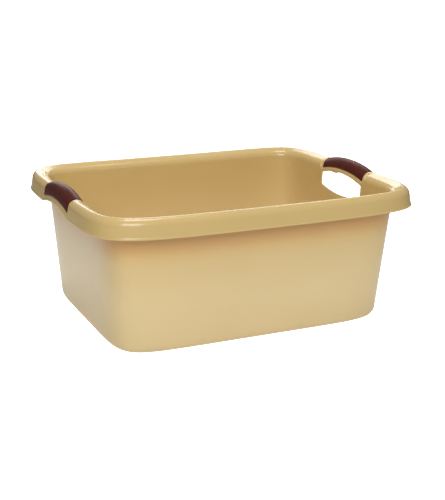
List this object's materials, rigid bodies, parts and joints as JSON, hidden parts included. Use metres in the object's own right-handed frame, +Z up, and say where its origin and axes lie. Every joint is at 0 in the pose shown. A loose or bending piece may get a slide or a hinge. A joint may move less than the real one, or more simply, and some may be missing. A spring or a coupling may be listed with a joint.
{
  "type": "plastic tub",
  "caption": "Oblong carrying tub with rounded corners, a rolled rim with a hanging skirt, and a soft-gripped bar over a hand opening at each short end.",
  "frame": {"origin": "under the middle of the base, on the plane that the tub stands on", "axes": "+X along the long sides, towards the right-hand grip; +Y across, towards the back; +Z up, out of the open top"},
  "size_m": [0.492, 0.411, 0.2074],
  "materials": {
    "moulded_tub": "satin injection-moulded polypropylene in warm beige",
    "soft_grip": "soft-touch thermoplastic elastomer in dark reddish brown"
  },
  "bodies": {
    "root": {"tub_shell": "moulded_tub", "left_grip": "soft_grip", "right_grip": "soft_grip"}
  },
  "joints": []
}
